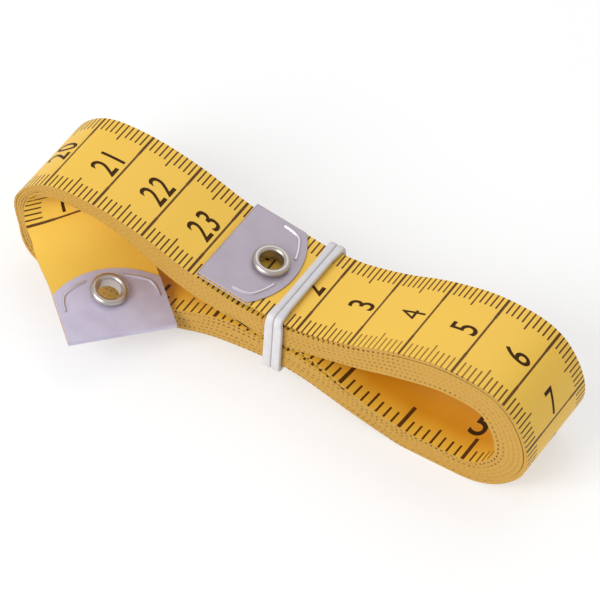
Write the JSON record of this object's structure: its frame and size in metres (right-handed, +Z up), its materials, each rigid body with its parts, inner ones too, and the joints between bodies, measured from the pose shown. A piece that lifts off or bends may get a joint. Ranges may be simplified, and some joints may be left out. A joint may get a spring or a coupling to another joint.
{
  "type": "cloth tape measure",
  "caption": "Yellow 60-inch cloth tape measure wound into a flat hank, held by a doubled rubber band, with a folded metal clip and eyelet on each end.",
  "frame": {"origin": "on the table, in the flat foot of the large right-hand loop, in the middle of the tape's width", "axes": "+X along the hank, from the left loop with the free tail to the large right loop; +Y across the tape, away from the tail; +Z up"},
  "size_m": [0.1011, 0.0381, 0.0237],
  "materials": {
    "tape": "coated cloth, satin, printed in black",
    "clip": "zinc plated, satin",
    "eyelet": "nickel plated, bright",
    "band": "white, matt"
  },
  "bodies": {
    "hank": {"tape_coil": "tape"},
    "outer_end": {"tape_outer_end": "tape", "outer_end_clip": "clip", "outer_eyelet": "eyelet"},
    "inner_end": {"tape_inner_end": "tape", "inner_end_clip": "clip", "inner_eyelet": "eyelet"},
    "band": {"rubber_band": "band"}
  },
  "joints": [
    {"name": "outer_end_lift", "type": "hinge", "parent": "hank", "child": "outer_end", "pos_m": [-0.03235, 0, 0.01602], "axis": [0, 1, 0], "range_deg": [0, 70]},
    {"name": "inner_end_flex", "type": "hinge", "parent": "hank", "child": "inner_end", "pos_m": [-0.0717, -0.002, 0.01276], "axis": [-0.342, -0.9397, 0], "range_deg": [-1.5, 10], "stiffness_Nm_per_rad": 0.03},
    {"name": "band_slide", "type": "slide", "parent": "hank", "child": "band", "axis": [1, 0, 0], "range_m": [0, 0.0035]}
  ]
}
